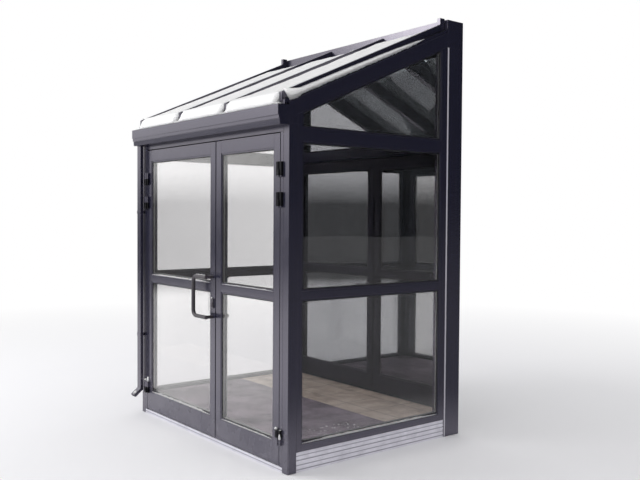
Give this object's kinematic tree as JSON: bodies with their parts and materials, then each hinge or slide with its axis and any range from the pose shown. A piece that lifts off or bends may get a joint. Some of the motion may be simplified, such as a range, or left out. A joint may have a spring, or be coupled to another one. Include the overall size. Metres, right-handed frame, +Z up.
{
  "type": "glazed entrance vestibule",
  "caption": "Glazed lean-to entrance vestibule with outer and inner pairs of glazed hinged doors, glass side walls and a sloping glass roof with eaves gutter.",
  "frame": {"origin": "on the ground at the middle of the underside of the floor slab: mid-width of the glazed walls and mid-depth between the front face and the rear faces of the wall posts", "axes": "+X to the right seen from outside, +Y into the building, +Z up"},
  "size_m": [2.055, 1.7167, 3.0605],
  "materials": {
    "anthracite": "satin anthracite grey powder coat",
    "light_aluminium": "mill-finish ribbed aluminium, weathered",
    "glass": "clear double glazing with a faint green tint",
    "roof_glass": "clear laminated double glazing",
    "facade_glass": "grey tinted double glazing, darker than that of the porch",
    "snow": "settled snow, a few centimetres deep",
    "hinge_black": "black coated hinges and lock plates",
    "dark_handle": "dark coated tube, semi-gloss",
    "concrete": "cast concrete",
    "floor_tile": "beige floor tile, matt",
    "entrance_mat": "grey purple ribbed entrance mat"
  },
  "bodies": {
    "frame": {"corner_posts": "anthracite", "door_heads": "anthracite", "door_jambs": "anthracite", "door_stops": "anthracite", "downpipe": "anthracite", "downpipe_clips": "anthracite", "eaves_beam": "anthracite", "edge_rafters": "anthracite", "entrance_mat": "entrance_mat", "fanlight_beads": "anthracite", "fanlight_glass": "facade_glass", "floor_slab": "concrete", "floor_tiles": "floor_tile", "frame_hinges": "anthracite", "front_threshold": "light_aluminium", "gutter": "anthracite", "gutter_end_caps": "anthracite", "inner_rafters": "anthracite", "rafter_caps": "anthracite", "roof_glass": "roof_glass", "roof_snow": "snow", "side_beads": "anthracite", "side_glass": "glass", "side_plinths": "light_aluminium", "side_rails": "anthracite", "side_uprights": "anthracite", "wall_flashing": "anthracite", "wall_plate": "anthracite", "wall_posts": "anthracite"},
    "front_left_leaf": {"front_left_beads": "anthracite", "front_left_glass": "glass", "front_left_hinges": "hinge_black", "front_left_rails": "anthracite", "front_left_stiles": "anthracite", "lock_plates": "hinge_black", "pull_handles": "dark_handle"},
    "front_right_leaf": {"front_right_beads": "anthracite", "front_right_glass": "glass", "front_right_hinges": "hinge_black", "front_right_rails": "anthracite", "front_right_stiles": "anthracite"},
    "back_left_leaf": {"back_left_beads": "anthracite", "back_left_glass": "facade_glass", "back_left_hinges": "hinge_black", "back_left_rails": "anthracite", "back_left_stiles": "anthracite", "lever_handles": "dark_handle"},
    "back_right_leaf": {"back_right_beads": "anthracite", "back_right_glass": "facade_glass", "back_right_hinges": "hinge_black", "back_right_rails": "anthracite", "back_right_stiles": "anthracite"}
  },
  "joints": [
    {"name": "front_left_door", "type": "hinge", "parent": "frame", "child": "front_left_leaf", "pos_m": [-0.927, -0.802, 1.09], "axis": [0, 0, -1], "range_deg": [0, 90]},
    {"name": "front_right_door", "type": "hinge", "parent": "frame", "child": "front_right_leaf", "pos_m": [0.927, -0.802, 1.09], "axis": [0, 0, 1], "range_deg": [0, 90]},
    {"name": "back_left_door", "type": "hinge", "parent": "frame", "child": "back_left_leaf", "pos_m": [-0.927, 0.698, 1.13], "axis": [0, 0, -1], "range_deg": [0, 85]},
    {"name": "back_right_door", "type": "hinge", "parent": "frame", "child": "back_right_leaf", "pos_m": [0.927, 0.698, 1.13], "axis": [0, 0, 1], "range_deg": [0, 85]}
  ]
}
